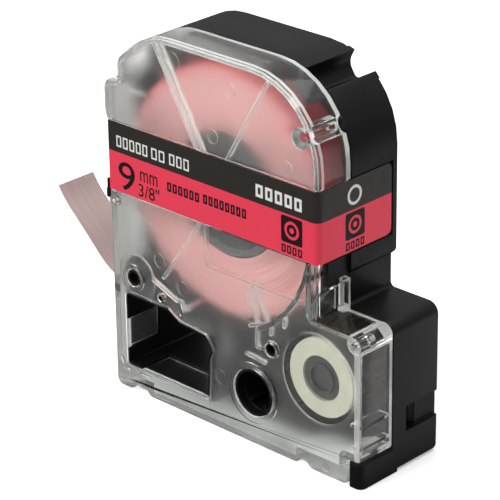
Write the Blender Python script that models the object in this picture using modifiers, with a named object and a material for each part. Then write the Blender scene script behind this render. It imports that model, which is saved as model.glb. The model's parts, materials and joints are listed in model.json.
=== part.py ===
"""Tape cartridge of a label printer, standing on its lower edge.

A clear front half and a black rear half are snapped together round a roll of 9 mm label tape,
a platen roller, and the supply and take-up spools of a thermal-transfer ink ribbon.

Lengths in the tables are millimetres, turned into metres by MM. Case coordinates are x from the
left wall, y from the front face and z from the lower edge. The world origin is the middle of
the lower edge's underside.
"""

import math

import bmesh
import bpy
from mathutils import Matrix, Vector

MM = 0.001

# Driving dimensions of the case
CASE_WIDTH = 62.0
CASE_DEPTH = 21.0
CASE_HEIGHT = 73.0
UPPER_WIDTH = 52.1
LEDGE_HEIGHT = 29.5
PARTING = 8.4
CLEAR_WALL = 1.2
BLACK_WALL = 1.4
REAR_FLOOR = 1.5
GAP = 0.3
SHOULDER_RADIUS = 15.9
FACE_EDGE_RADIUS = 0.6

# The tape, the ribbon and the axes of their spools, as (x, z)
TAPE_WIDTH = 9.0
TAPE_THICKNESS = 0.16
RIBBON_WIDTH = 10.2
RIBBON_THICKNESS = 0.12
TAPE_AXIS = (25.0, 44.6)
PLATEN_AXIS = (5.9, 24.0)
SUPPLY_AXIS = (51.4, 18.2)
TAKEUP_AXIS = (36.3, 10.6)
TAPE_ROLL_RADIUS = 23.3
TAPE_CORE_RADIUS = 11.7
TAPE_POST_RADIUS = 4.2
PLATEN_RADIUS = 3.6
SUPPLY_CORE_RADIUS = 4.0
SUPPLY_ROLL_RADIUS = 6.9
SUPPLY_POST_RADIUS = 1.8
TAKEUP_CORE_RADIUS = 5.0
TAKEUP_BORE_RADIUS = 3.9
TAKEUP_ROLL_RADIUS = 6.0

# The label that wraps the front and the right side
LABEL_BOTTOM = 40.5
LABEL_TOP = 54.1
LABEL_LEFT = 0.15
LABEL_SIDE_END = 19.2
LABEL_THICKNESS = 0.15
LABEL_CORNER_RADIUS = 1.5
LABEL_RECESS = 0.5

# How deep the clear half's tabs reach into the head opening
LEFT_TAB_END = 8.0
LOWER_TAB_END = 7.0

# The pin that guides the ribbon past the head opening, as (x, z)
GUIDE_PIN_AXIS = (18.3, 21.15)
GUIDE_PIN_RADIUS = 0.75

# Holes in the faces, as (x, z, bore radius, rim radius)
TAKEUP_HOLE = (*TAKEUP_AXIS, 4.85, 5.95)
PLATEN_HOLE = (*PLATEN_AXIS, 1.9, 2.7)
SMALL_LOCATOR = (12.8, 22.0, 0.85, 1.1)
LARGE_LOCATOR = (40.7, 20.7, 1.45, 1.9)
FACE_HOLES = (TAKEUP_HOLE, PLATEN_HOLE, SMALL_LOCATOR, LARGE_LOCATOR)
RIM_HEIGHT = 0.35

FRONT_FACE = 0.0
FRONT_INNER = CLEAR_WALL
FRONT_BACK = PARTING - GAP / 2
REAR_FRONT = PARTING + GAP / 2
REAR_INNER = CASE_DEPTH - REAR_FLOOR
TAPE_FRONT = (CASE_DEPTH - TAPE_WIDTH) / 2
TAPE_BACK = TAPE_FRONT + TAPE_WIDTH
RIBBON_FRONT = (CASE_DEPTH - RIBBON_WIDTH) / 2
RIBBON_BACK = RIBBON_FRONT + RIBBON_WIDTH
WELL_FRONT = FRONT_INNER + 0.4
WELL_LIP = 0.6

ORIGIN = Vector((-CASE_WIDTH / 2, -CASE_DEPTH / 2, 0)) * MM
ARC_STEP = math.radians(12)

# Outlines are corners (x, z, rounding radius), walked anticlockwise as seen from the front
UPPER_CORNERS = [
    (UPPER_WIDTH, CASE_HEIGHT, SHOULDER_RADIUS),
    (10.8, CASE_HEIGHT, 13.5),
    (3.0, 66.6, 2.5),
    (2.9, 62.2, 0.8),
    (-0.7, 62.2, 2.0),
    (-0.7, 55.8, 2.0),
    (0.0, 53.6, 2.0),
]
FRONT_CORNERS = [
    (0.0, 0.0, 1.5),
    (4.0, 0.0, 1.0),
    (5.3, 1.8, 0.8),
    (7.3, 1.8, 0.8),
    (9.0, 0.0, 1.0),
    (46.4, 0.0, 1.0),
    (48.1, 1.6, 0.8),
    (50.2, 0.0, 1.0),
    (58.7, 0.0, 1.0),
    (58.7, 5.2, 0.4),
    (CASE_WIDTH, 5.2, 1.0),
    (CASE_WIDTH, LEDGE_HEIGHT, 2.4),
    (49.6, LEDGE_HEIGHT, 0.5),
    (49.6, 40.2, 0.4),
    (UPPER_WIDTH, 40.2, 1.0),
    *UPPER_CORNERS,
]
FRONT_POCKET_CORNERS = [
    (0.0, 0.0, 1.5),
    (57.5, 0.0, 0.6),
    (57.5, 5.2, 0.4),
    (CASE_WIDTH, 5.2, 0.3),
    (CASE_WIDTH, LEDGE_HEIGHT, 2.4),
    (49.6, LEDGE_HEIGHT, 0.5),
    (49.6, 40.2, 0.4),
    (UPPER_WIDTH - LABEL_RECESS, 40.2, 0.3),
    (UPPER_WIDTH - LABEL_RECESS, CASE_HEIGHT, SHOULDER_RADIUS),
    *UPPER_CORNERS[1:4],
    (0.0, 62.2, 2.0),
]
REAR_CORNERS = [
    (0.0, 0.0, 1.5),
    (CASE_WIDTH, 0.0, 1.2),
    (CASE_WIDTH, LEDGE_HEIGHT, 2.3),
    (50.9, LEDGE_HEIGHT, 0.8),
    (50.9, 35.8, 0.3),
    (UPPER_WIDTH, 36.8, 0.8),
    *UPPER_CORNERS,
]
REAR_POCKET_CORNERS = [
    (0.0, 0.0, 1.5),
    (CASE_WIDTH - 0.8, 0.0, 1.2),
    (CASE_WIDTH - 0.8, LEDGE_HEIGHT, 2.3),
    (50.9, LEDGE_HEIGHT, 0.8),
    (50.9, CASE_HEIGHT, SHOULDER_RADIUS),
    *UPPER_CORNERS[1:4],
    (0.0, 62.2, 2.0),
]
HEAD_CORNERS = [
    (3.1, 5.0, 0.8),
    (25.0, 5.0, 0.6),
    (25.3, 13.6, 0.3),
    (26.2, 15.3, 0.8),
    (24.4, 18.2, 1.2),
    (17.6, 18.7, 0.8),
    (14.6, 20.4, 0.8),
    (3.1, 20.4, 1.0),
]
GRIP_CORNERS = [
    (42.0, 72.4, 0.3),
    (40.4, 69.4, 2.4),
    (42.2, 66.7, 0.8),
    (47.0, 69.4, 0.3),
    (50.0, 76.0, 0.3),
    (42.0, 76.0, 0.3),
]

# Thin ribs inside the clear face, as (x0, z0, x1, z1)
FACE_RIBS = [
    (12.1, 71.2, 23.4, 51.9),
    (13.6, 71.6, 25.1, 52.0),
    (39.6, 70.8, 28.5, 52.0),
    (22.3, 39.4, 12.7, 25.7),
    (34.1, 30.3, 36.5, 24.1),
    (35.6, 31.6, 38.8, 25.5),
    (9.8, 24.6, 16.3, 22.1),
    (16.3, 22.1, 17.3, 22.5),
    (17.3, 22.5, 18.0, 20.5),
    (34.5, 23.2, 41.0, 25.8),
    (36.4, 23.2, 36.4, 19.4),
    (36.4, 19.4, 38.5, 19.9),
    (39.9, 24.4, 39.9, 22.9),
    (43.1, 27.4, 43.1, 25.4),
    (33.5, 17.4, 36.0, 17.2),
    (36.0, 17.2, 38.5, 16.9),
]
EJECTOR_MARKS = [
    (17.0, 69.3, 1.5),
    (26.5, 57.5, 1.3),
    (12.1, 29.1, 1.4),
    (17.9, 25.3, 1.4),
    (27.3, 10.5, 1.4),
    (33.9, 25.4, 1.2),
    (30.9, 67.2, 1.3),
    (44.0, 56.3, 1.5),
    (23.3, 4.0, 1.2),
]

# The ribbon's route round its guides, and the tape's from the platen to its free end
RIBBON_TURNS = [
    (40.2, 23.6, 2.5),
    (33.0, 20.0, 3.0),
    (17.9, 20.0, 1.2),
    (12.3, 24.2, 1.5),
    (8.8, 19.45, 1.0),
    (4.8, 19.45, 1.5),
    (1.8, 16.6, 1.5),
    (1.8, 3.6, 1.2),
    (24.5, 3.6, 2.0),
]
TAPE_FREE_RUN = [
    (0.2, 19.3),
    (-4.0, 18.7),
    (-8.3, 20.5),
    (-13.9, 25.7),
    (-18.8, 30.3),
    (-21.0, 33.2),
]


# ---- helpers -----------------------------------------------------------------------------


def place(x, y, z):
    """World position of a point in case coordinates."""
    return ORIGIN + Vector((x, y, z)) * MM


def arc_points(centre, radius, start, end):
    """Points along an arc, its angles in radians, both ends included."""
    steps = max(2, math.ceil(abs(end - start) / ARC_STEP))
    turns = [start + (end - start) * i / steps for i in range(steps + 1)]
    return [(centre[0] + radius * math.cos(t), centre[1] + radius * math.sin(t)) for t in turns]


def circle_points(centre, radius, count):
    turns = [2 * math.pi * i / count for i in range(count)]
    return [(centre[0] + radius * math.cos(t), centre[1] + radius * math.sin(t)) for t in turns]


def rounded_corner(before, corner, after, radius):
    """The arc that rounds one corner between two straight runs."""
    corner = Vector(corner)
    back = (Vector(before) - corner).normalized()
    ahead = (Vector(after) - corner).normalized()
    half = back.angle(ahead) / 2
    if radius <= 0 or abs(half - math.pi / 2) < 1e-3:
        return [tuple(corner)]
    centre = corner + (back + ahead).normalized() * radius / math.sin(half)
    first = corner + back * radius / math.tan(half) - centre
    last = corner + ahead * radius / math.tan(half) - centre
    start = math.atan2(first.y, first.x)
    turn = first.angle_signed(last)
    return arc_points(centre, radius, start, start - turn)


def rounded_outline(corners):
    """A closed outline with each corner rounded."""
    outline = []
    for i, (x, z, radius) in enumerate(corners):
        before = corners[i - 1][:2]
        after = corners[(i + 1) % len(corners)][:2]
        outline += rounded_corner(before, (x, z), after, radius)
    return outline


def rounded_route(start, turns, end):
    """An open route from start to end with each turn rounded."""
    stops = [start, *(turn[:2] for turn in turns), end]
    route = [start]
    for i, (x, z, radius) in enumerate(turns):
        route += rounded_corner(stops[i], (x, z), stops[i + 2], radius)
    return [*route, end]


def smooth_route(stops, steps=5):
    """A Catmull-Rom curve through the stops."""
    padded = [Vector(stop) for stop in (stops[0], *stops, stops[-1])]
    route = []
    for a, b, c, d in zip(padded, padded[1:], padded[2:], padded[3:]):
        for i in range(steps):
            t = i / steps
            bend = (2 * a - 5 * b + 4 * c - d) * t * t + (3 * b - a - 3 * c + d) * t**3
            route.append(tuple((2 * b + (c - a) * t + bend) / 2))
    return [*route, tuple(stops[-1])]


def inset(corners, distance):
    """The corners moved inwards by a distance, with the rounding radii to match."""
    moved = []
    for i, (x, z, radius) in enumerate(corners):
        corner = Vector((x, z))
        ahead = (Vector(corners[(i + 1) % len(corners)][:2]) - corner).normalized()
        back = (corner - Vector(corners[i - 1][:2])).normalized()
        mitre = Vector((-back.y - ahead.y, back.x + ahead.x)).normalized()
        shift = mitre * distance / mitre.dot(Vector((-back.y, back.x)))
        convex = back.cross(ahead) > 0
        new_radius = max(radius - distance, 0.3) if convex else radius + distance
        moved.append((*(corner + shift), new_radius))
    return moved


def link(obj, collection, material=None):
    collection.objects.link(obj)
    if material:
        obj.data.materials.append(material)
    return obj


def mesh_object(name, fill, location=None):
    """A new mesh object whose mesh is filled by a bmesh function, which works in metres."""
    mesh = bpy.data.meshes.new(name)
    work = bmesh.new()
    fill(work)
    work.to_mesh(mesh)
    work.free()
    obj = bpy.data.objects.new(name, mesh)
    obj.location = location or ORIGIN
    return obj


def plate(name, outlines, near, far, centre=(0, 0), plan=False):
    """A flat piece from an outer outline and any holes, between two depths (or heights, in plan)."""
    curve = bpy.data.curves.new(name, "CURVE")
    curve.dimensions = "2D"
    curve.fill_mode = "BOTH"
    curve.extrude = (far - near) / 2 * MM
    for outline in outlines:
        spline = curve.splines.new("POLY")
        spline.points.add(len(outline) - 1)
        spline.use_cyclic_u = True
        for point, (u, v) in zip(spline.points, outline):
            point.co = ((u - centre[0]) * MM, (v - centre[1]) * MM, 0, 1)
    holder = bpy.data.objects.new("outline", curve)
    middle = (near + far) / 2
    holder.location = place(*centre, middle) if plan else place(centre[0], middle, centre[1])
    holder.rotation_euler.x = 0 if plan else math.pi / 2
    bpy.context.scene.collection.objects.link(holder)
    bpy.context.view_layer.update()
    graph = bpy.context.evaluated_depsgraph_get()
    mesh = bpy.data.meshes.new_from_object(holder.evaluated_get(graph))
    obj = bpy.data.objects.new(name, mesh)
    obj.matrix_world = holder.matrix_world
    bpy.data.objects.remove(holder)
    work = bmesh.new()
    work.from_mesh(mesh)
    bmesh.ops.remove_doubles(work, verts=work.verts, dist=1e-6)
    work.to_mesh(mesh)
    work.free()
    return obj


def block(name, x_range, y_range, z_range, turn=0.0):
    """A box between pairs of coordinates, turned about its own middle in the face's plane."""
    ranges = (x_range, y_range, z_range)
    size = [(high - low) * MM for low, high in ranges]
    middle = [(high + low) / 2 for low, high in ranges]
    obj = mesh_object(name, lambda work: bmesh.ops.create_cube(work, matrix=Matrix.Diagonal((*size, 1))))
    obj.location = place(*middle)
    obj.rotation_euler.y = turn
    return obj


def bar(name, start, end, width, near, far):
    """A straight rib between two points of the face's plane."""
    run = Vector(end) - Vector(start)
    middle = (Vector(start) + Vector(end)) / 2
    across = (middle.x - run.length / 2, middle.x + run.length / 2)
    height = (middle.y - width / 2, middle.y + width / 2)
    return block(name, across, (near, far), height, turn=-math.atan2(run.y, run.x))


def rod(name, centre, radius, near, far, sides=32):
    """A round rod along the depth."""

    def fill(work):
        depth = (far - near) * MM
        size = {"radius1": radius * MM, "radius2": radius * MM, "depth": depth, "segments": sides}
        bmesh.ops.create_cone(work, cap_ends=True, matrix=Matrix.Rotation(math.pi / 2, 4, "X"), **size)

    return mesh_object(name, fill, place(centre[0], (near + far) / 2, centre[1]))


def tube(name, centre, inner, outer, near, far, sides=32):
    """A round tube along the depth."""
    rings = [circle_points(centre, radius, sides) for radius in (outer, inner)]
    return plate(name, rings, near, far, centre)


def turned(name, centre, profile, sides=64, closed=True):
    """A turned piece. Its profile of (radius, depth) runs from back to front on the outside."""
    points = [Vector((radius * MM, 0, depth * MM)) for radius, depth in profile]

    def fill(work):
        verts = [work.verts.new(point) for point in points]
        for vert, following in zip(verts, verts[1:] + (verts[:1] if closed else [])):
            work.edges.new((vert, following))

    obj = mesh_object(name, fill, place(centre[0], 0, centre[1]))
    obj.rotation_euler.x = -math.pi / 2
    screw = obj.modifiers.new("turn", "SCREW")
    screw.steps = screw.render_steps = sides
    screw.use_merge_vertices = True
    screw.merge_threshold = 1e-5
    return obj


def strip(name, route, near, far, thickness, plan=False):
    """A thin flexible strip that follows a route, as wide as the two depths (or heights) are apart."""
    curve = bpy.data.curves.new(name, "CURVE")
    curve.dimensions = "3D"
    curve.extrude = (far - near) / 2 * MM
    spline = curve.splines.new("POLY")
    spline.points.add(len(route) - 1)
    for point, (u, v) in zip(spline.points, route):
        point.co = (u * MM, v * MM, 0, 1)
    holder = bpy.data.objects.new("route", curve)
    middle = (near + far) / 2
    holder.location = place(0, 0, middle) if plan else place(0, middle, 0)
    holder.rotation_euler.x = 0 if plan else math.pi / 2
    bpy.context.scene.collection.objects.link(holder)
    bpy.context.view_layer.update()
    graph = bpy.context.evaluated_depsgraph_get()
    mesh = bpy.data.meshes.new_from_object(holder.evaluated_get(graph))
    obj = bpy.data.objects.new(name, mesh)
    obj.matrix_world = holder.matrix_world
    bpy.data.objects.remove(holder)
    solidify = obj.modifiers.new("thickness", "SOLIDIFY")
    solidify.thickness = thickness * MM
    solidify.offset = 0
    solidify.use_even_offset = True
    return obj


def coil(name, centre, radius, wire_radius, near, far, turns):
    """A helical spring along the depth, with filled wire ends."""
    curve = bpy.data.curves.new(name, "CURVE")
    curve.dimensions = "3D"
    curve.bevel_depth = wire_radius * MM
    curve.bevel_resolution = 1
    curve.use_fill_caps = True
    count = 14 * turns
    spline = curve.splines.new("POLY")
    spline.points.add(count)
    for i, point in enumerate(spline.points):
        angle = 2 * math.pi * turns * i / count
        depth = near + wire_radius + (far - near - 2 * wire_radius) * i / count
        point.co = (radius * math.cos(angle) * MM, depth * MM, radius * math.sin(angle) * MM, 1)
    obj = bpy.data.objects.new(name, curve)
    obj.location = place(centre[0], 0, centre[1])
    return obj


def combine(target, operation, tools, cutters):
    """Adds one Boolean modifier to the target for each tool."""
    for tool in tools:
        cutters.objects.link(tool)
        tool.hide_render = True
        tool.display_type = "WIRE"
        boolean = target.modifiers.new(tool.name, "BOOLEAN")
        boolean.operation = operation
        boolean.object = tool


def smooth(obj):
    obj.data.shade_smooth()
    obj.data.set_sharp_from_angle(angle=math.radians(30))


def material(name, colour, roughness, metallic=0.0, alpha=1.0):
    made = bpy.data.materials.new(name)
    made.use_nodes = True
    shader = made.node_tree.nodes["Principled BSDF"]
    shader.inputs["Base Color"].default_value = (*colour, 1)
    shader.inputs["Roughness"].default_value = roughness
    shader.inputs["Metallic"].default_value = metallic
    shader.inputs["Alpha"].default_value = alpha
    return made


# ---- the case ----------------------------------------------------------------------------


def soften_face_edge(obj, pick):
    """Rounds the rim of a plate's front face (pick is max) or rear face (pick is min)."""
    work = bmesh.new()
    work.from_mesh(obj.data)
    level = pick(vert.co.z for vert in work.verts)
    rim = [
        edge
        for edge in work.edges
        if all(abs(vert.co.z - level) < 1e-6 for vert in edge.verts)
        and len({round(face.normal.z, 2) for face in edge.link_faces}) > 1
    ]
    bmesh.ops.bevel(work, geom=rim, offset=FACE_EDGE_RADIUS * MM, segments=2, profile=0.5, affect="EDGES")
    work.to_mesh(obj.data)
    work.free()


def label_recess(name, back):
    """The pocket that the label lies in, round the front face and along the right side."""
    outside = UPPER_WIDTH - LABEL_RECESS
    corner = LABEL_CORNER_RADIUS - LABEL_RECESS
    corners = [
        (-2.0, LABEL_RECESS, 0),
        (outside, LABEL_RECESS, corner),
        (outside, back, 0),
        (UPPER_WIDTH + 2, back, 0),
        (UPPER_WIDTH + 2, -2.0, 0),
        (-2.0, -2.0, 0),
    ]
    return plate(name, [rounded_outline(corners)], LABEL_BOTTOM - GAP, LABEL_TOP + GAP, plan=True)


def front_case(clear, parts, cutters):
    """The clear half: face, side wall, ribs, bosses, rims and the strap of the side catch."""
    shell = plate("front_case", [rounded_outline(FRONT_CORNERS)], FRONT_FACE, FRONT_BACK)
    soften_face_edge(shell, max)
    link(shell, parts, clear)
    pocket = rounded_outline(inset(FRONT_POCKET_CORNERS, CLEAR_WALL))
    combine(shell, "DIFFERENCE", [plate("front_pocket", [pocket], FRONT_INNER, PARTING + 1)], cutters)

    inside = (FRONT_INNER - 0.3, FRONT_BACK)
    strap_hole = [(50.4, 30.4), (51.4, 30.4), (51.4, 34.8), (50.4, 34.8)]
    strap = [(49.0, 29.0), (52.2, 29.0), (52.2, 35.7), (49.0, 35.7)]
    added = [
        block("left_lug", (0.6, 9.6), inside, (0.6, 3.0)),
        block("right_lug", (46.0, 58.2), inside, (0.6, 3.0)),
        plate("strap", [strap, strap_hole], 6.5, FRONT_BACK),
        block("strap_wall", (49.9, 50.8), (FRONT_INNER - 0.3, 6.9), (28.9, 34.1)),
        block("ledge_post_1", (49.2, 50.5), (0.5, 1.2), (29.2, 40.4)),
        block("ledge_post_2", (49.2, 50.5), (1.8, 2.4), (29.2, 40.4)),
        rod("corner_boss", (60.1, 27.7), 1.9, 0.0, FRONT_BACK, 24),
        rod("shoulder_boss", (47.2, 62.6), 1.9, 0.0, FRONT_BACK, 24),
        rod("side_boss", (1.2, 38.2), 1.1, -0.15, 3.0, 20),
        block("side_rib_1", (58.9, 61.2), inside, (11.6, 12.2)),
        block("side_rib_2", (59.4, 61.2), inside, (7.4, 8.0)),
        tube("supply_ring", SUPPLY_AXIS, 8.45, 8.75, FRONT_INNER - 0.2, 1.35, 48),
        tube("platen_ring", PLATEN_AXIS, 4.3, 4.6, FRONT_INNER - 0.2, 1.45, 40),
        tube("guide_boss", (17.2, 20.3), 0.4, 0.75, -0.15, 0.3, 20),
    ]
    wall = arc_points(TAPE_AXIS, 24.9, math.radians(-62), math.radians(-11))
    wall += arc_points(TAPE_AXIS, 24.0, math.radians(-11), math.radians(-62))
    added.append(plate("chamber_wall", [wall], FRONT_INNER - 0.3, FRONT_BACK))
    for i, (x0, z0, x1, z1) in enumerate(FACE_RIBS):
        added.append(bar(f"face_rib_{i}", (x0, z0), (x1, z1), 0.55, FRONT_INNER - 0.2, 1.9))
    for i, (x, z, _, rim) in enumerate(FACE_HOLES):
        added.append(rod(f"rim_{i}", (x, z), rim, -RIM_HEIGHT, FRONT_INNER - 0.1, 40))
    combine(shell, "UNION", added, cutters)

    window = [(24.7, 32.2, 0.8), (53.0, 32.2, 0), (53.0, 41.0, 0), (24.7, 41.0, 0)]
    corner_pocket = block("corner_pocket", (59.6, 63.0), (2.5, 6.6), (28.2, 30.2), turn=math.radians(45))
    removed = [
        label_recess("front_label_recess", PARTING + 2),
        plate("window", [rounded_outline(window)], -1.0, 0.15),
        plate("head_opening", [rounded_outline(HEAD_CORNERS)], -1.0, FRONT_INNER + 0.5),
        block("front_tape_slot", (-2.0, 2.0), (TAPE_FRONT - 0.7, PARTING + 1), (17.4, 21.6)),
        rod("shoulder_notch", (50.9, 64.2), 1.7, -1.0, PARTING + 1, 24),
        rod("shoulder_hole", (47.2, 62.6), 0.85, 3.0, PARTING + 1, 16),
        rod("corner_hole", (60.1, 27.7), 0.75, -1.0, 5.0, 16),
        rod("side_hole", (1.2, 38.2), 0.45, -1.0, 1.6, 12),
        rod("right_lug_mark", (53.6, 1.7), 0.8, -1.0, 0.5, 16),
        block("key_mark", (10.4, 14.4), (-1.0, 0.3), (0.7, 1.5)),
        bar("corner_groove", (1.5, 6.2), (2.0, 4.9), 0.5, -1.0, 0.5),
        bar("corner_groove_foot", (1.9, 5.0), (3.7, 4.1), 0.5, -1.0, 0.5),
        block("edge_groove", (6.5, 9.6), (-1.0, 0.3), (4.1, 4.4)),
        corner_pocket,
    ]
    for i, (x, z, bore, _) in enumerate(FACE_HOLES):
        removed.append(rod(f"bore_{i}", (x, z), bore, -1.0, FRONT_INNER + 1, 40))
    for i, (x, z, radius) in enumerate(EJECTOR_MARKS):
        removed.append(rod(f"ejector_mark_{i}", (x, z), radius, FRONT_INNER - 0.15, FRONT_INNER + 0.2, 12))
    combine(shell, "DIFFERENCE", removed, cutters)
    tabs = [
        block("left_tab", (2.95, 3.4), (0.3, LEFT_TAB_END), (8.9, 14.5)),
        block("lower_tab", (7.2, 24.2), (0.3, LOWER_TAB_END), (4.85, 5.3)),
    ]
    combine(shell, "UNION", tabs, cutters)
    smooth(shell)


def rear_case(black, parts, cutters):
    """The black half: tray, head well, spool posts, catches, foot and grip groove."""
    shell = plate("rear_case", [rounded_outline(REAR_CORNERS)], REAR_FRONT, CASE_DEPTH)
    soften_face_edge(shell, min)
    link(shell, parts, black)
    pocket = rounded_outline(inset(REAR_POCKET_CORNERS, BLACK_WALL))
    combine(shell, "DIFFERENCE", [plate("rear_pocket", [pocket], PARTING - 1, REAR_INNER)], cutters)

    floor = REAR_INNER + 0.3
    well = rounded_outline(inset(HEAD_CORNERS, -0.9))
    collar = rounded_outline(inset(HEAD_CORNERS, 0.2))
    foot = [(59.0, 0.2, 0.5), (CASE_WIDTH, 0.2, 1.3), (CASE_WIDTH, 10.0, 0.1), (59.0, 10.0, 0.1)]
    grip_skin = rounded_outline(inset(GRIP_CORNERS, -BLACK_WALL))
    added = [
        plate("grip_skin", [grip_skin], REAR_FRONT, CASE_DEPTH),
        plate("head_well", [well], WELL_FRONT, floor),
        plate("head_collar", [collar], 0.15, WELL_FRONT + 2),
        plate("foot", [rounded_outline(foot)], 0.0, 4.8, plan=True),
        block("side_catch", (50.2, 51.4), (3.3, 9.4), (36.1, 39.9)),
        block("side_catch_tip", (50.2, 51.4), (3.3, 6.2), (35.0, 36.5)),
        block("left_catch", (-1.1, -0.3), (0.3, 10.5), (38.4, 42.0)),
        block("left_catch_root", (-1.1, 0.7), (REAR_FRONT + 0.2, 10.5), (38.4, 42.0)),
        rod("tape_post", TAPE_AXIS, TAPE_POST_RADIUS, TAPE_FRONT + 0.5, floor, 32),
        rod("supply_post", SUPPLY_AXIS, SUPPLY_POST_RADIUS, 4.0, floor, 24),
    ]
    for name, (x, z, bore, rim) in (("small_locator", SMALL_LOCATOR), ("large_locator", LARGE_LOCATOR)):
        added.append(rod(f"{name}_post", (x, z), rim, WELL_FRONT + 0.6, floor, 24))
        added.append(rod(f"{name}_tip", (x, z), bore - 0.2, 0.0, WELL_FRONT + 1, 24))
    wall = arc_points(TAPE_AXIS, 24.9, math.radians(-58), math.radians(-14))
    wall += arc_points(TAPE_AXIS, 24.0, math.radians(-14), math.radians(-58))
    added.append(plate("rear_chamber_wall", [wall], REAR_FRONT, floor))
    combine(shell, "UNION", added, cutters)

    outline_trim = [(38.0, 80.0), (60.0, 80.0), (60.0, 60.0)]
    outline_trim += arc_points((UPPER_WIDTH - SHOULDER_RADIUS, 57.1), SHOULDER_RADIUS, 0.1, math.pi / 2)
    through = CASE_DEPTH + 1
    removed = [
        plate("outline_trim", [outline_trim], PARTING - 1, through),
        plate("grip_groove", [rounded_outline(GRIP_CORNERS)], PARTING - 1, through),
        plate("head_way", [rounded_outline(inset(HEAD_CORNERS, WELL_LIP))], -1.0, through),
        block("platen_gap", (1.9, 10.9), (WELL_FRONT + 0.3, REAR_INNER), (19.7, 24.0)),
        block("ribbon_gap", (1.5, 10.9), (RIBBON_FRONT - 0.5, RIBBON_BACK + 0.5), (16.0, 20.2)),
        block("left_tab_recess", (2.7, 4.4), (-1.0, LEFT_TAB_END + GAP), (8.6, 14.8)),
        block("lower_tab_recess", (6.9, 24.6), (-1.0, LOWER_TAB_END + GAP), (4.6, 6.4)),
        block("rear_tape_slot", (-2.0, 2.0), (PARTING - 1, TAPE_BACK + 0.7), (17.4, 21.6)),
        label_recess("rear_label_recess", LABEL_SIDE_END + GAP),
        block("side_notch", (61.2, 63.0), (12.2, through), (7.2, 12.3)),
        block("side_slot", (59.0, 63.0), (12.4, 15.3), (7.2, 12.0)),
        rod("takeup_way", TAKEUP_AXIS, 4.3, REAR_INNER - 1, through, 40),
        rod("platen_way", PLATEN_AXIS, 1.9, REAR_INNER - 1, through, 24),
        rod("tape_post_bore", TAPE_AXIS, 2.6, 8.0, through, 32),
        rod("supply_post_bore", SUPPLY_AXIS, 0.8, 6.0, through, 16),
        rod("small_locator_bore", SMALL_LOCATOR[:2], SMALL_LOCATOR[2] - 0.5, -1.0, through, 16),
        rod("large_locator_bore", LARGE_LOCATOR[:2], LARGE_LOCATOR[2] - 0.6, -1.0, through, 20),
    ]
    combine(shell, "DIFFERENCE", removed, cutters)
    smooth(shell)


def case_label(printed, parts):
    """The printed label, wrapped from the front face round to the right side."""
    skin = LABEL_RECESS - GAP - LABEL_THICKNESS / 2
    side = UPPER_WIDTH - skin
    radius = LABEL_CORNER_RADIUS - skin
    route = rounded_route((LABEL_LEFT, skin), [(side, skin, radius)], (side, LABEL_SIDE_END))
    label = strip("case_label", route, LABEL_BOTTOM, LABEL_TOP, LABEL_THICKNESS, plan=True)
    work = bmesh.new()
    work.from_mesh(label.data)
    end = max(vert.co.y for vert in work.verts)
    tips = [vert for vert in work.verts if vert.co.y > end - 1e-6]
    bmesh.ops.bevel(work, geom=tips, offset=1.2 * MM, segments=4, profile=0.5, affect="VERTICES")
    work.to_mesh(label.data)
    work.free()
    link(label, parts, printed)


# ---- spools ------------------------------------------------------------------------------


def ring_profile(inner, outer, near, far):
    return [(outer, far), (outer, near), (inner, near), (inner, far)]


def tape_spool(grey, tape, film, steel, parts):
    """The core, the wound tape, its two side films and the core's brake spring."""
    web_near = TAPE_FRONT + 3.5
    web_far = TAPE_FRONT + 5.0
    hub = TAPE_POST_RADIUS + GAP
    core = [
        (TAPE_CORE_RADIUS, TAPE_BACK),
        (TAPE_CORE_RADIUS, TAPE_FRONT),
        (TAPE_CORE_RADIUS - 1.4, TAPE_FRONT),
        (TAPE_CORE_RADIUS - 1.4, web_near),
        (hub + 1.2, web_near),
        (hub + 1.2, TAPE_FRONT),
        (hub, TAPE_FRONT),
        (hub, TAPE_BACK),
        (hub + 1.2, TAPE_BACK),
        (hub + 1.2, web_far),
        (TAPE_CORE_RADIUS - 1.4, web_far),
        (TAPE_CORE_RADIUS - 1.4, TAPE_BACK),
    ]
    link(turned("tape_core", TAPE_AXIS, core, 48), parts, grey)
    wound = ring_profile(TAPE_CORE_RADIUS + GAP, TAPE_ROLL_RADIUS, TAPE_FRONT, TAPE_BACK)
    link(turned("tape_roll", TAPE_AXIS, wound, 72), parts, tape)
    front = ring_profile(hub + 0.6, TAPE_ROLL_RADIUS - 0.6, TAPE_FRONT - 0.5, TAPE_FRONT - 0.3)
    link(turned("tape_film_front", TAPE_AXIS, front), parts, film)
    back = ring_profile(hub + 2.2, TAPE_ROLL_RADIUS - 0.6, TAPE_BACK + 0.3, TAPE_BACK + 0.5)
    link(turned("tape_film_rear", TAPE_AXIS, back), parts, film)
    spring = coil("tape_core_spring", TAPE_AXIS, hub + 1.0, 0.25, TAPE_BACK + 0.9, REAR_INNER - 0.3, 4)
    link(spring, parts, steel)


def platen(black, rubber, parts):
    """The platen roller: a flanged plastic sleeve under a rubber tyre."""
    journal = PLATEN_HOLE[2] - GAP
    sleeve = [
        (journal, CASE_DEPTH - 0.1),
        (journal, 18.6),
        (3.8, 18.6),
        (3.8, 17.8),
        (2.4, 17.8),
        (2.4, 2.8),
        (3.8, 2.8),
        (3.8, 2.0),
        (journal, 2.0),
        (journal, -0.2),
        (1.1, -0.2),
        (1.1, CASE_DEPTH - 0.1),
    ]
    link(turned("platen_core", PLATEN_AXIS, sleeve, 40), parts, black)
    tyre = ring_profile(2.4 + GAP, PLATEN_RADIUS, TAPE_FRONT - 0.4, TAPE_BACK + 0.4)
    link(turned("platen_rubber", PLATEN_AXIS, tyre, 40), parts, rubber)


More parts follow.
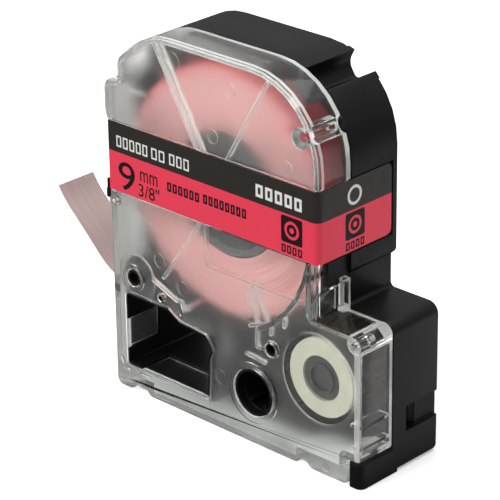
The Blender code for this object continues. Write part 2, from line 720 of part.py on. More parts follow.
def supply_spool(grey, ivory, ink, steel, parts):
    """The ribbon's supply core, its brake washer, the unused ribbon and the brake spring."""
    bore = SUPPLY_POST_RADIUS + GAP
    core = [
        (0.0, 3.4),
        (bore, 3.4),
        (bore, 16.0),
        (SUPPLY_CORE_RADIUS, 16.0),
        (SUPPLY_CORE_RADIUS, 2.2),
        (2.9, 2.2),
        (2.9, 1.8),
        (2.4, 1.8),
        (2.4, 2.5),
        (0.0, 2.5),
    ]
    link(turned("supply_core", SUPPLY_AXIS, core, 48, closed=False), parts, grey)
    washer = ring_profile(SUPPLY_CORE_RADIUS + GAP, 7.4, 1.9, 2.6)
    link(turned("supply_washer", SUPPLY_AXIS, washer), parts, ivory)
    wound = ring_profile(SUPPLY_CORE_RADIUS + GAP, SUPPLY_ROLL_RADIUS, RIBBON_FRONT, RIBBON_BACK)
    link(turned("supply_roll", SUPPLY_AXIS, wound, 48), parts, ink)
    link(coil("supply_spring", SUPPLY_AXIS, 2.9, 0.25, 16.4, REAR_INNER - 0.3, 4), parts, steel)


def takeup_spool(black, ink, steel, parts, cutters):
    """The take-up core with its inner drive teeth, the used ribbon and the reverse-stop spring."""
    teeth = 6
    inner = []
    for i in range(teeth):
        start = 2 * math.pi * i / teeth
        gap_end = start + math.radians(42)
        inner += arc_points(TAKEUP_AXIS, TAKEUP_BORE_RADIUS, start, gap_end)
        tooth = (start + math.radians(45), start + math.radians(57))
        inner += arc_points(TAKEUP_AXIS, TAKEUP_BORE_RADIUS - 0.8, *tooth)
    outer = circle_points(TAKEUP_AXIS, TAKEUP_CORE_RADIUS, 48)
    core = plate("takeup_core", [outer, inner], WELL_FRONT, REAR_INNER - 0.4, TAKEUP_AXIS)
    neck = TAKEUP_HOLE[2] - GAP
    combine(core, "UNION", [tube("takeup_neck", TAKEUP_AXIS, neck - 0.5, neck, -0.1, 2.2, 48)], cutters)
    link(core, parts, black)
    wound = ring_profile(TAKEUP_CORE_RADIUS + GAP, TAKEUP_ROLL_RADIUS, RIBBON_FRONT, RIBBON_BACK)
    link(turned("takeup_roll", TAKEUP_AXIS, wound, 48), parts, ink)
    link(coil("takeup_spring", TAKEUP_AXIS, 5.6, 0.25, 16.0, REAR_INNER - 0.3, 3), parts, steel)


# ---- tape and ribbon runs ----------------------------------------------------------------


def tape_strip(tape, parts):
    """The tape's run off its roll, round the platen and out to its free end."""
    off_roll = TAPE_ROLL_RADIUS + GAP + TAPE_THICKNESS / 2
    on_platen = PLATEN_RADIUS + GAP + TAPE_THICKNESS / 2
    between = Vector(PLATEN_AXIS) - Vector(TAPE_AXIS)
    lean = math.acos((off_roll + on_platen) / between.length)
    leaving = math.atan2(between.y, between.x) + 2 * math.pi - lean
    route = arc_points(TAPE_AXIS, off_roll, math.radians(200), leaving)
    route += arc_points(PLATEN_AXIS, on_platen, leaving - math.pi, math.radians(-98))
    route += smooth_route([route[-1], *TAPE_FREE_RUN])[1:]
    link(strip("tape_strip", route, TAPE_FRONT, TAPE_BACK, TAPE_THICKNESS), parts, tape)


def ink_ribbon(ink, steel, parts):
    """The ribbon's run from supply to take-up round the head opening, and its guide pin."""
    on_supply = SUPPLY_ROLL_RADIUS + GAP + RIBBON_THICKNESS / 2
    on_takeup = TAKEUP_ROLL_RADIUS + GAP + RIBBON_THICKNESS / 2
    leaving = arc_points(SUPPLY_AXIS, on_supply, math.radians(60), math.radians(100))
    arriving = arc_points(TAKEUP_AXIS, on_takeup, math.radians(-90), math.radians(-40))
    route = leaving[:-1] + rounded_route(leaving[-1], RIBBON_TURNS, arriving[0]) + arriving[1:]
    link(strip("ink_ribbon", route, RIBBON_FRONT, RIBBON_BACK, RIBBON_THICKNESS), parts, ink)
    pin = rod("ribbon_guide_pin", GUIDE_PIN_AXIS, GUIDE_PIN_RADIUS, 2.2, REAR_INNER - GAP, 20)
    smooth(pin)
    link(pin, parts, steel)


def build():
    for obj in list(bpy.data.objects):
        bpy.data.objects.remove(obj)
    parts = bpy.data.collections.new("tape_cartridge")
    cutters = bpy.data.collections.new("cutters")
    for collection in (parts, cutters):
        bpy.context.scene.collection.children.link(collection)

    clear = material("clear_plastic", (0.86, 0.87, 0.86), 0.3, alpha=0.35)
    black = material("black_plastic", (0.035, 0.036, 0.037), 0.45)
    printed = material("printed_label", (0.72, 0.045, 0.07), 0.4)
    grey = material("grey_plastic", (0.17, 0.18, 0.17), 0.5)
    tape = material("tape", (0.6, 0.3, 0.28), 0.45)
    film = material("side_film", (0.9, 0.9, 0.9), 0.1, alpha=0.3)
    rubber = material("rubber", (0.03, 0.03, 0.03), 0.8)
    ivory = material("ivory_plastic", (0.6, 0.57, 0.46), 0.6)
    ink = material("ink_ribbon", (0.03, 0.02, 0.018), 0.25)
    steel = material("steel", (0.6, 0.6, 0.6), 0.3, metallic=1.0)

    front_case(clear, parts, cutters)
    rear_case(black, parts, cutters)
    case_label(printed, parts)
    tape_spool(grey, tape, film, steel, parts)
    platen(black, rubber, parts)
    supply_spool(grey, ivory, ink, steel, parts)
    takeup_spool(black, ink, steel, parts, cutters)
    tape_strip(tape, parts)
    ink_ribbon(ink, steel, parts)


build()
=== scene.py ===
# Looks for a label printer's tape cartridge: a frosted clear half and a satin black half round
# a roll of tape, a platen and an ink ribbon, with a printed label wrapped round the case.
#
# Patterns and printed shapes use the case's own millimetres: x from the left wall, y from the
# clear face and z from the lower edge.

import json
import math

import bmesh
import bpy
from mathutils import Matrix, Vector

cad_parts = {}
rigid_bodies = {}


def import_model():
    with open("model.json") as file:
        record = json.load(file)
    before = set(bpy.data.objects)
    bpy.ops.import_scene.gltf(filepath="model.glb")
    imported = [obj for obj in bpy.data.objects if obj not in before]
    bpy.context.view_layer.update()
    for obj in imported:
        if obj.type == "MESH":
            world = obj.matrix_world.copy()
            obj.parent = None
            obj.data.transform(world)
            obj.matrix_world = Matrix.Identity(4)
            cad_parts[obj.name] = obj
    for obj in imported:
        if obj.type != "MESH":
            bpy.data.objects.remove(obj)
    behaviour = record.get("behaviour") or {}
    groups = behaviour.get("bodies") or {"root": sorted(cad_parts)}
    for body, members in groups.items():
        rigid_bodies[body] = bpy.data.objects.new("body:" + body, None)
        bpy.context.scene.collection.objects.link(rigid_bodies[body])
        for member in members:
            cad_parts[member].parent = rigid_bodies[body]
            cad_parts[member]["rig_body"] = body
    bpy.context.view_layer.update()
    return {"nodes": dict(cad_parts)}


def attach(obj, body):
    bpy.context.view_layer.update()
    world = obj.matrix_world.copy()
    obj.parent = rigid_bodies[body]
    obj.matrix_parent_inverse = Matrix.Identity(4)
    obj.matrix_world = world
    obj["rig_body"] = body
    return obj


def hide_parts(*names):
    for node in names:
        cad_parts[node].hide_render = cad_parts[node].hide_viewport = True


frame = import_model()

CASE_ORIGIN = (31.0, 10.5, 0.0)
TAPE_AXIS = (25.0, 44.6)
TAPE_RADIUS = 23.3
LAYER_PITCH = 0.34
SUPPLY_AXIS = (51.4, 18.2)
LABEL_FRONT = 0.05
LABEL_SIDE = 52.05
BAND_LOW = 48.3
INK_RAISED = 0.02
INK_SUNK = 0.01


# ---- shader building ---------------------------------------------------------------------


class Shader:
    """Builds one material. Every value may be a number, a colour or another node's output."""

    def __init__(self, name):
        self.material = bpy.data.materials.new(name)
        self.material.use_nodes = True
        self.tree = self.material.node_tree
        self.tree.nodes.clear()
        coords = self.node("ShaderNodeTexCoord")
        self.normal = coords.outputs["Normal"]
        mapping = {"Scale": (1000.0,) * 3, "Location": CASE_ORIGIN}
        self.case = self.node("ShaderNodeMapping", Vector=coords.outputs["Object"], **mapping).outputs[0]
        self.x, self.y, self.z = self.split(self.case)

    def node(self, kind, settings=None, **inputs):
        made = self.tree.nodes.new(kind)
        for key, value in (settings or {}).items():
            setattr(made, key, value)
        for key, value in inputs.items():
            self.feed(made.inputs[key.replace("_", " ")], value)
        return made

    def feed(self, socket, value):
        if isinstance(value, bpy.types.NodeSocket):
            self.tree.links.new(value, socket)
        elif socket.type == "RGBA" and len(value) == 3:
            socket.default_value = (*value, 1)
        else:
            socket.default_value = value

    def split(self, vector):
        return self.node("ShaderNodeSeparateXYZ", Vector=vector).outputs[:3]

    def join(self, x, y, z):
        made = self.node("ShaderNodeCombineXYZ")
        for socket, value in zip(made.inputs, (x, y, z)):
            self.feed(socket, value)
        return made.outputs[0]

    def math(self, operation, *values):
        made = self.node("ShaderNodeMath", {"operation": operation})
        for socket, value in zip(made.inputs, values):
            self.feed(socket, value)
        return made.outputs[0]

    def times(self, product, *factors):
        for factor in factors:
            product = self.math("MULTIPLY", product, factor)
        return product

    def reach(self, axis):
        """How far out, across and up from an axis along the depth."""
        across = self.math("SUBTRACT", self.x, axis[0])
        up = self.math("SUBTRACT", self.z, axis[1])
        squares = self.math("ADD", self.times(across, across), self.times(up, up))
        return self.math("SQRT", squares), across, up

    def ease(self, value, low, high, start=0.0, end=1.0):
        """Eases from start to end while the value goes from low to high."""
        settings = {"interpolation_type": "SMOOTHSTEP"}
        ends = {"From_Min": low, "From_Max": high, "To_Min": start, "To_Max": end}
        return self.node("ShaderNodeMapRange", settings, Value=value, **ends).outputs[0]

    def within(self, value, low, high, soft=0.1):
        """One between low and high, nought outside."""
        rise = self.ease(value, low - soft, low + soft)
        fall = self.ease(value, high - soft, high + soft, 1.0, 0.0)
        return self.times(rise, fall)

    def blend(self, factor, a, b):
        """A mix of two numbers or two colours."""
        colour = any(isinstance(v, tuple) or getattr(v, "type", "") == "RGBA" for v in (a, b))
        made = self.node("ShaderNodeMix", {"data_type": "RGBA" if colour else "FLOAT"})
        first = 6 if colour else 2
        self.feed(made.inputs[0], factor)
        self.feed(made.inputs[first], a)
        self.feed(made.inputs[first + 1], b)
        return made.outputs[2 if colour else 0]

    def noise(self, scale, detail=2.0, vector=None, stretch=(1.0, 1.0, 1.0)):
        """Noise from 0 to 1. The scale is in cycles per millimetre."""
        stretched = self.node("ShaderNodeMapping", Vector=vector or self.case, Scale=stretch).outputs[0]
        return self.node("ShaderNodeTexNoise", Vector=stretched, Scale=scale, Detail=detail).outputs[0]

    def bump(self, height, strength, distance_mm, normal=None):
        inputs = {"Height": height, "Strength": strength, "Distance": distance_mm * 0.001}
        if normal:
            inputs["Normal"] = normal
        return self.node("ShaderNodeBump", **inputs).outputs[0]

    def soft_edges(self, radius_mm):
        return self.node("ShaderNodeBevel", {"samples": 6}, Radius=radius_mm * 0.001).outputs[0]

    def principled(self, **inputs):
        return self.node("ShaderNodeBsdfPrincipled", **inputs).outputs[0]

    def finish(self, surface):
        output = self.node("ShaderNodeOutputMaterial")
        self.tree.links.new(surface, output.inputs["Surface"])
        return self.material


# ---- materials ---------------------------------------------------------------------------


def clear_plastic():
    """Clear polystyrene, frosted inside its face, with polished side walls and windows."""
    s = Shader("frosted_clear_plastic")
    across_face = s.math("ABSOLUTE", s.split(s.normal)[1])
    facing = s.ease(across_face, 0.55, 0.85)
    walls = s.math("SUBTRACT", 1.0, facing)
    skin = s.times(facing, s.ease(s.y, 0.2, 0.5, 1.0, 0.0))
    behind_face = s.within(s.y, 0.95, 2.0, 0.03)

    # Frost covers the inside of the face, but not the window under the label or the supply spool.
    from_supply = s.reach(SUPPLY_AXIS)[0]
    window = s.times(s.within(s.x, 24.9, 60.0), s.within(s.z, 32.4, 40.3))
    window = s.math("MAXIMUM", window, s.ease(from_supply, 8.2, 8.4, 1.0, 0.0))
    frosted = s.times(facing, behind_face, s.math("SUBTRACT", 1.0, window))
    far_left = s.times(frosted, s.ease(s.x, 3.0, 11.0, 1.0, 0.0))
    frost = s.ease(s.noise(0.16, 3.0), 0.3, 0.7, 0.34, 0.46)
    polished = s.ease(s.noise(0.5, 3.0), 0.3, 0.7, 0.07, 0.13)
    roughness = s.blend(far_left, s.blend(frosted, polished, frost), 0.7)

    # Ribs, corners and the ends of walls are painted pale: the glass passes less light there, so its
    # white base shows as a painted highlight where these edges catch the light.
    upper_ribs = s.times(s.within(s.x, 2.5, 46.0), s.within(s.z, 20.3, 69.0))
    lower_ribs = s.times(s.within(s.x, 26.5, 60.3), s.within(s.z, 2.0, 27.0))
    lower_ribs = s.times(lower_ribs, s.ease(from_supply, 8.0, 9.2, 1.0, 0.4))
    ribs = s.times(walls, s.math("MAXIMUM", upper_ribs, lower_ribs), behind_face)
    rims = s.times(s.within(across_face, 0.2, 0.93, 0.05), s.ease(s.y, 0.7, 0.9, 1.0, 0.0))
    below = s.ease(s.z, 1.0, 4.0, 1.0, 0.0)
    outer_edge = s.times(walls, s.math("MAXIMUM", below, s.ease(s.x, 0.5, 3.0, 1.0, 0.0)))
    right_wall = s.times(skin, s.within(s.x, 60.5, 61.7), s.within(s.z, 3.5, 27.0))
    lower_wall = s.times(skin, s.ease(s.z, 1.6, 2.2, 1.0, 0.0))
    tab = s.times(s.within(s.x, 2.9, 3.45), s.within(s.z, 8.8, 14.6), s.ease(s.y, 0.9, 1.1))
    tab_edge = s.times(tab, s.ease(s.math("ABSOLUTE", s.split(s.normal)[2]), 0.5, 0.7))
    shoulder = s.times(walls, s.within(s.y, 0.9, 1.6, 0.05), s.ease(s.z, 41.0, 42.0))
    joint = s.times(facing, s.within(s.y, 8.1, 8.4, 0.03))
    # Painted highlights: each mask below lowers the clarity by its painted whitening.
    clarity = 1.0
    for mask, painted_whitening in (
        (rims, 0.06),
        (outer_edge, 0.2),
        (ribs, 0.5),
        (right_wall, 0.5),
        (lower_wall, 0.2),
        (tab, 0.03),
        (tab_edge, 0.5),
        (shoulder, 0.6),
        (joint, 0.85),
    ):
        clarity = s.blend(s.times(mask, painted_whitening), clarity, 0.0)

    # The frost itself passes nearly all light. Along the lower edge, beside the head and on the rib tops
    # it passes less, so its white base shows as painted brightness for light reaching the frost there;
    # along the left edge the base that shows is the painted grey set below.
    near_bottom = s.ease(s.z, 1.0, 9.5, 1.0, 0.0)
    near_left = s.times(s.ease(s.x, 1.5, 6.0, 1.0, 0.0), s.ease(s.z, 44.0, 50.0, 1.0, 0.0))
    by_head = s.times(s.within(s.x, 27.5, 30.5, 1.5), s.within(s.z, 15.0, 20.0, 3.0))
    rib_tops = s.within(s.y, 1.8, 2.0, 0.02)
    haze_and_painted_brightness = s.ease(s.noise(0.3, 4.0), 0.25, 0.75, 0.996, 0.985)
    for mask, passed in ((near_bottom, 0.86), (near_left, 0.72), (by_head, 0.93), (rib_tops, 0.85)):
        haze_and_painted_brightness = s.blend(mask, haze_and_painted_brightness, passed)

    # At the far left the base turns grey: painted shade on the frost in front of the left wall.
    tone = s.blend(far_left, (0.94, 0.95, 0.93), (0.36, 0.365, 0.35))
    glass = s.principled(
        # At the joint the base is a painted mid-grey, standing in for the light and shade the wall's end
        # shows through the face.
        Base_Color=s.blend(joint, tone, (0.46, 0.46, 0.45)),
        Roughness=roughness,
        IOR=1.37,
        Transmission_Weight=s.blend(frosted, clarity, haze_and_painted_brightness),
        Normal=s.bump(s.noise(5.0, 3.0), 0.10, 0.02),
    )
    through = s.node("ShaderNodeBsdfTransparent", Color=(0.72, 0.73, 0.72)).outputs[0]
    shadow = s.node("ShaderNodeLightPath").outputs["Is Shadow Ray"]
    mixed = s.node("ShaderNodeMixShader")
    for socket, value in zip(mixed.inputs, (shadow, glass, through)):
        s.feed(socket, value)
    return s.finish(mixed.outputs[0])


def black_plastic(name, colour=(0.0035, 0.0036, 0.0038), edge=0.25):
    """Satin black plastic with a fine spark-eroded grain."""
    s = Shader(name)
    cloud = s.noise(0.12, 4.0)
    grain = s.noise(5.0, 3.0)
    roughness = s.ease(s.blend(0.5, cloud, grain), 0.3, 0.7, 0.34, 0.48)
    normal = s.bump(grain, 0.25, 0.03, s.soft_edges(edge))
    base = s.blend(s.ease(cloud, 0.35, 0.65), colour, tuple(c * 1.5 for c in colour))
    return s.finish(s.principled(Base_Color=base, Roughness=roughness, IOR=1.32, Normal=normal))


def label_film():
    """The label's printed film: a dark band above red, under a thin glossy coat."""
    s = Shader("label_film")
    mottle = s.noise(1.2, 4.0)
    red = s.blend(mottle, (0.96, 0.052, 0.100), (1.0, 0.066, 0.120))
    dark = s.blend(mottle, (0.022, 0.019, 0.015), (0.031, 0.027, 0.022))
    colour = s.blend(s.ease(s.z, BAND_LOW - 0.04, BAND_LOW + 0.04), red, dark)
    roughness = s.ease(s.noise(0.5, 3.0), 0.3, 0.7, 0.34, 0.44)
    normal = s.bump(s.noise(2.5, 3.0), 0.08, 0.02)
    return s.finish(s.principled(Base_Color=colour, Roughness=roughness, IOR=1.45, Normal=normal))


def print_ink(name, colour):
    s = Shader(name)
    base = s.blend(s.noise(3.0, 3.0), colour, tuple(min(1.0, c * 1.15) for c in colour))
    roughness = s.ease(s.noise(1.0), 0.3, 0.7, 0.4, 0.55)
    return s.finish(s.principled(Base_Color=base, Roughness=roughness, IOR=1.33))


def wound_tape():
    """A wound roll seen edge on: red film and pale backing in turn, and red round its rim."""
    s = Shader("wound_tape")
    radius, across, up = s.reach(TAPE_AXIS)
    angle = s.math("ARCTAN2", up, across)
    turns = s.noise(2.6, 3.0, s.join(radius, s.times(angle, 0.25), 0.0))
    layers = s.math("SINE", s.times(radius, 2 * math.pi / LAYER_PITCH))
    side = s.blend(s.ease(turns, 0.35, 0.65), (0.64, 0.235, 0.24), (0.80, 0.37, 0.365))
    side = s.blend(s.ease(layers, 0.2, 1.0, 0.0, 0.3), side, (0.50, 0.12, 0.13))
    outermost = s.ease(radius, TAPE_RADIUS - 3.0, TAPE_RADIUS - 0.3)
    side = s.blend(s.times(outermost, s.ease(s.z, 48.0, 60.0), 0.55), side, (0.74, 0.11, 0.12))
    facing = s.ease(s.math("ABSOLUTE", s.split(s.normal)[1]), 0.4, 0.7)
    rim = s.blend(s.noise(0.6, 3.0, stretch=(1.0, 4.0, 1.0)), (0.55, 0.035, 0.05), (0.68, 0.07, 0.085))
    height = s.math("ADD", turns, s.times(layers, 0.12))
    normal = s.bump(height, 0.35, 0.06)
    roughness = s.blend(facing, 0.3, s.ease(turns, 0.3, 0.7, 0.42, 0.6))
    base = s.blend(facing, rim, side)
    return s.finish(s.principled(Base_Color=base, Roughness=roughness, Normal=normal))


def tape_backing():
    """The free tape: dusty pink backing on its upper side, red film beneath, streaked lengthwise."""
    s = Shader("free_tape")
    streaks = s.noise(1.2, 3.0, stretch=(0.05, 1.0, 0.05))
    backing = s.blend(s.ease(streaks, 0.3, 0.7), (0.50, 0.36, 0.345), (0.56, 0.415, 0.395))
    upper = s.math("ADD", s.times(s.split(s.normal)[0], 0.6), s.split(s.normal)[2])
    film = s.blend(streaks, (0.60, 0.04, 0.06), (0.70, 0.06, 0.08))
    base = s.blend(s.ease(upper, -0.1, 0.1), film, backing)
    normal = s.bump(streaks, 0.15, 0.04)
    roughness = s.ease(streaks, 0.3, 0.7, 0.42, 0.55)
    return s.finish(s.principled(Base_Color=base, Roughness=roughness, Normal=normal))


def side_film():
    """The thin clear film that keeps the wound tape flat."""
    s = Shader("side_film")
    normal = s.bump(s.noise(0.4, 3.0), 0.2, 0.08)
    made = s.principled(Base_Color=(0.92, 0.92, 0.92), Roughness=0.18, Alpha=0.045, Normal=normal)
    return s.finish(made)


def moulded_plastic(name, dark, light, roughness=(0.42, 0.58)):
    """Plain moulded plastic with a faint grain."""
    s = Shader(name)
    cloud = s.noise(0.4, 4.0)
    speck = s.noise(6.0, 3.0)
    base = s.blend(s.ease(s.blend(0.5, cloud, speck), 0.35, 0.65), dark, light)
    normal = s.bump(speck, 0.2, 0.03)
    rough = s.ease(cloud, 0.3, 0.7, *roughness)
    return s.finish(s.principled(Base_Color=base, Roughness=rough, Normal=normal))


def ribbon_film():
    """Ink ribbon: a thin glossy film coated in black, brownish where light catches it."""
    s = Shader("ribbon_film")
    streaks = s.noise(1.2, 4.0, stretch=(1.0, 0.08, 1.0))
    base = s.blend(streaks, (0.020, 0.013, 0.009), (0.045, 0.030, 0.020))
    normal = s.bump(streaks, 0.3, 0.06)
    roughness = s.ease(streaks, 0.3, 0.7, 0.16, 0.32)
    return s.finish(s.principled(Base_Color=base, Roughness=roughness, Normal=normal))


def spring_steel():
    s = Shader("spring_steel")
    drawn = s.noise(4.0, 3.0)
    base = s.blend(drawn, (0.42, 0.42, 0.43), (0.62, 0.62, 0.62))
    roughness = s.ease(drawn, 0.3, 0.7, 0.22, 0.38)
    return s.finish(s.principled(Base_Color=base, Metallic=1.0, Roughness=roughness))


def floor_paint():
    """Plain white paper, toned down in reflections, as dark cards round a product shot do."""
    s = Shader("pale_floor")
    path = s.node("ShaderNodeLightPath")
    seen = s.math("MAXIMUM", path.outputs["Is Camera Ray"], path.outputs["Is Transmission Ray"])
    paper = s.blend(s.noise(0.02, 3.0), (0.93, 0.93, 0.93), (0.95, 0.95, 0.95))
    beside = s.times(s.within(s.x, 65.0, 180.0, 8.0), s.within(s.y, 0.0, 160.0, 8.0))
    toned = s.blend(beside, (0.14, 0.14, 0.14), (0.6, 0.6, 0.6))
    base = s.blend(seen, toned, paper)
    glow = {"Emission_Color": (1.0, 1.0, 1.0), "Emission_Strength": s.times(seen, 0.3)}
    return s.finish(s.principled(Base_Color=base, Roughness=0.9, Specular_IOR_Level=0.0, **glow))


# ---- pieces ------------------------------------------------------------------------------


def place(x, y, z):
    """A point in case millimetres, in the frame's metres."""
    return (Vector((x, y, z)) - Vector(CASE_ORIGIN)) * 0.001


def show(obj, body, material):
    obj.data.materials.clear()
    obj.data.materials.append(material)
    if not obj.users_collection:
        bpy.context.scene.collection.objects.link(obj)
    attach(obj, body)
    return obj


def smooth(mesh, degrees):
    mesh.shade_smooth()
    mesh.set_sharp_from_angle(angle=math.radians(degrees))


def stand_in(node, material, degrees=32):
    """A welded and smooth-shaded copy of a CAD node, shown in its place."""
    source = frame["nodes"][node]
    mesh = bpy.data.meshes.new(f"{node}_shown")
    points = [vert.co for vert in source.data.vertices]
    mesh.from_pydata(points, [], [tuple(face.vertices) for face in source.data.polygons])
    work = bmesh.new()
    work.from_mesh(mesh)
    bmesh.ops.remove_doubles(work, verts=work.verts, dist=2e-6)
    work.to_mesh(mesh)
    work.free()
    smooth(mesh, degrees)
    obj = show(bpy.data.objects.new(f"{node}_shown", mesh), source["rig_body"], material)
    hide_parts(node)
    return obj


def on_front(u, v, raised):
    return place(u, LABEL_FRONT - raised, v)


def on_side(u, v, raised):
    return place(LABEL_SIDE + raised, u, v)


def add_ink(work, outline, surface, hole=None):
    """A thin raised shape on the label, from its outline and perhaps a hole of as many points."""
    loops = [outline, hole] if hole else [outline]
    rings = []
    for raised in (INK_RAISED, -INK_SUNK):
        rings.append([[work.verts.new(surface(u, v, raised)) for u, v in loop] for loop in loops])
    count = len(outline)
    for i in range(count):
        j = (i + 1) % count
        for top, bottom in zip(*rings):
            work.faces.new((top[i], top[j], bottom[j], bottom[i]))
        if hole:
            for level in rings:
                work.faces.new((level[0][i], level[0][j], level[1][j], level[1][i]))
    if not hole:
        for level in rings:
            work.faces.new(level[0])


def bar(u0, v0, u1, v1, radius=0.2):
    """The outline of a bar with rounded corners."""
    outline = []
    corners = [(u1 - radius, v1 - radius), (u0 + radius, v1 - radius), (u0 + radius, v0 + radius)]
    corners.append((u1 - radius, v0 + radius))
    for quarter, (u, v) in enumerate(corners):
        for i in range(4):
            turn = math.pi / 2 * (quarter + i / 3)
            outline.append((u + radius * math.cos(turn), v + radius * math.sin(turn)))
    return outline


def circle(u, v, radius, count=40):
    turns = [2 * math.pi * i / count for i in range(count)]
    return [(u + radius * math.cos(turn), v + radius * math.sin(turn)) for turn in turns]


def add_blocks(work, surface, u0, u1, v0, count, height, stroke):
    """A row of equal hollow blocks that stands where a word would."""
    pitch = (u1 - u0) / (count - 0.25)
    for i in range(count):
        low = (u0 + i * pitch, v0)
        high = (low[0] + pitch * 0.75, v0 + height)
        hole = bar(low[0] + stroke, low[1] + stroke, high[0] - stroke, high[1] - stroke, 0.03)
        add_ink(work, bar(*low, *high, 0.1), surface, hole)


def ink_piece(name, material, fill):
    work = bmesh.new()
    fill(work)
    bmesh.ops.recalc_face_normals(work, faces=work.faces)
    mesh = bpy.data.meshes.new(name)
    work.to_mesh(mesh)
    work.free()
    return show(bpy.data.objects.new(name, mesh), "case", material)


def size_mark(name, text, low, high, material):
    """A printed tape size that fills the space between two corners on the label's front."""
    curve = bpy.data.curves.new(name, "FONT")
    curve.body = text
    curve.extrude = 0.5
    curve.resolution_u = 4
    holder = bpy.data.objects.new(f"{name}_curve", curve)
    bpy.context.scene.collection.objects.link(holder)
    bpy.context.view_layer.update()
    graph = bpy.context.evaluated_depsgraph_get()
    mesh = bpy.data.meshes.new_from_object(holder.evaluated_get(graph))
    bpy.data.objects.remove(holder)
    points = [vert.co.copy() for vert in mesh.vertices]
    least = [min(point[i] for point in points) for i in range(2)]
    most = [max(point[i] for point in points) for i in range(2)]
    for vert, point in zip(mesh.vertices, points):
        along = [(point[i] - least[i]) / (most[i] - least[i]) for i in range(2)]
        u, v = (low[i] + (high[i] - low[i]) * along[i] for i in range(2))
        vert.co = on_front(u, v, INK_RAISED if point.z > 0 else -INK_SUNK)
    return show(bpy.data.objects.new(name, mesh), "case", material)


def dark_print(work):
    add_blocks(work, on_front, 15.3, 23.4, 44.2, 6, 1.8, 0.38)
    add_blocks(work, on_front, 24.4, 35.0, 44.4, 8, 1.8, 0.38)
    for surface, u, v in ((on_front, 45.9, 45.4), (on_side, 9.6, 45.4)):
        add_ink(work, bar(u - 2.5, v - 2.5, u + 2.5, v + 2.5, 0.4), surface, circle(u, v, 1.75, 16))
        add_ink(work, circle(u, v, 1.15), surface, circle(u, v, 0.55))
        add_blocks(work, surface, u - 2.4, u + 2.4, v - 4.5, 4, 1.5, 0.3)


def light_print(work):
    add_blocks(work, on_front, 2.3, 10.4, 49.4, 5, 2.2, 0.32)
    add_blocks(work, on_front, 11.4, 14.8, 49.4, 2, 2.2, 0.32)
    add_blocks(work, on_front, 16.0, 21.0, 49.5, 3, 2.2, 0.32)
    add_blocks(work, on_front, 37.4, 48.3, 49.5, 5, 2.4, 0.55)
    add_ink(work, circle(9.45, 51.0, 1.85), on_side, circle(9.45, 51.0, 1.3))


def build_pieces():
    black = black_plastic("satin_black_plastic")
    core_black = black_plastic("core_black_plastic", (0.003, 0.003, 0.0031), 0.12)
    grey = moulded_plastic("grey_core_plastic", (0.013, 0.014, 0.013), (0.021, 0.0225, 0.021))
    ivory = moulded_plastic("ivory_washer", (0.47, 0.46, 0.375), (0.54, 0.53, 0.44), (0.55, 0.7))
    rubber = moulded_plastic("platen_rubber", (0.012, 0.012, 0.012), (0.02, 0.02, 0.02), (0.7, 0.85))
    film = side_film()
    ribbon = ribbon_film()
    steel = spring_steel()

    stand_in("front_case", clear_plastic())
    stand_in("rear_case", black)
    stand_in("case_label", label_film())
    stand_in("tape_core", grey)
    stand_in("tape_roll", wound_tape())
    stand_in("tape_film_front", film)
    stand_in("tape_film_rear", film)
    stand_in("tape_core_spring", steel, 60)
    stand_in("platen_core", core_black)
    stand_in("platen_rubber", rubber)
    stand_in("supply_core", grey)
    stand_in("supply_washer", ivory)
    stand_in("supply_roll", ribbon)
    stand_in("supply_spring", steel, 60)
    stand_in("takeup_core", core_black)
    stand_in("takeup_roll", ribbon)
    stand_in("takeup_spring", steel, 60)
    stand_in("tape_strip", tape_backing(), 60)
    stand_in("ink_ribbon", ribbon, 60)
    stand_in("ribbon_guide_pin", steel)

    dark = print_ink("dark_ink", (0.010, 0.006, 0.007))
    light = print_ink("light_ink", (0.82, 0.82, 0.78))
    ink_piece("label_dark_print", dark, dark_print)
    ink_piece("label_light_print", light, light_print)
    size_mark("size_number", "9", (2.6, 41.2), (6.9, 46.8), dark)
    size_mark("size_unit", "mm", (8.3, 44.2), (12.8, 46.2), dark)
    size_mark("size_in_inches", '3/8"', (7.8, 41.1), (13.2, 43.7), dark)


# ---- stage -------------------------------------------------------------------------------


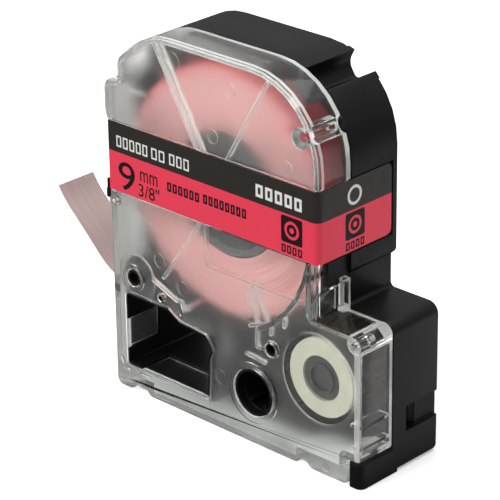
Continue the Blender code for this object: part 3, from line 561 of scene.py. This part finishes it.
def build_stage():
    mesh = bpy.data.meshes.new("floor")
    half = 1.5
    corners = [(-half, -half, 0), (half, -half, 0), (half, half, 0), (-half, half, 0)]
    mesh.from_pydata(corners, [], [(0, 1, 2, 3)])
    mesh.materials.append(floor_paint())
    floor = bpy.data.objects.new("floor", mesh)
    floor.location.z = -0.0001
    bpy.context.scene.collection.objects.link(floor)

    world = bpy.data.worlds.new("studio")
    world.use_nodes = True
    tree = world.node_tree
    tree.nodes.clear()
    height = tree.nodes.new("ShaderNodeSeparateXYZ")
    tree.links.new(tree.nodes.new("ShaderNodeTexCoord").outputs["Generated"], height.inputs[0])
    ramp = tree.nodes.new("ShaderNodeValToRGB")
    ramp.color_ramp.elements[0].position = 0.0
    ramp.color_ramp.elements[0].color = (0.35, 0.35, 0.36, 1)
    ramp.color_ramp.elements[1].position = 0.8
    ramp.color_ramp.elements[1].color = (1, 1, 1, 1)
    tree.links.new(height.outputs[2], ramp.inputs[0])
    background = tree.nodes.new("ShaderNodeBackground")
    background.inputs["Strength"].default_value = 0.65
    tree.links.new(ramp.outputs[0], background.inputs["Color"])
    output = tree.nodes.new("ShaderNodeOutputWorld")
    tree.links.new(background.outputs[0], output.inputs["Surface"])
    bpy.context.scene.world = world

    for name, spot, size, power in (
        ("key", (-0.35, -0.75, 0.75), 0.55, 8.2),
        ("top", (0.15, 0.25, 0.9), 0.6, 3.2),
        ("fill", (0.85, -0.25, 0.35), 0.5, 1.0),
    ):
        light = bpy.data.lights.new(name, "AREA")
        light.size = size
        light.energy = power
        lamp = bpy.data.objects.new(name, light)
        lamp.location = spot
        aim = Vector((0, 0, 0.035)) - Vector(spot)
        lamp.rotation_euler = aim.to_track_quat("-Z", "Y").to_euler()
        bpy.context.scene.collection.objects.link(lamp)


def build_camera():
    azimuth = math.radians(44.074)
    elevation = math.radians(24.394)
    roll = math.radians(-0.845)
    distance = 0.4568
    target = Vector((-0.00357, -0.00177, 0.03326))
    data = bpy.data.cameras.new("camera")
    data.lens = 181.38
    data.sensor_width = 36.0
    data.clip_start = 0.01
    camera = bpy.data.objects.new("camera", data)
    turn = Matrix.Rotation(azimuth, 4, "Z") @ Matrix.Rotation(math.pi / 2 - elevation, 4, "X")
    turn = turn @ Matrix.Rotation(roll, 4, "Z")
    back = turn.to_3x3() @ Vector((0, 0, 1))
    camera.matrix_world = Matrix.Translation(target + back * distance) @ turn
    bpy.context.scene.collection.objects.link(camera)
    bpy.context.scene.camera = camera
    bpy.context.scene.view_settings.view_transform = "Standard"


build_pieces()
build_stage()
build_camera()
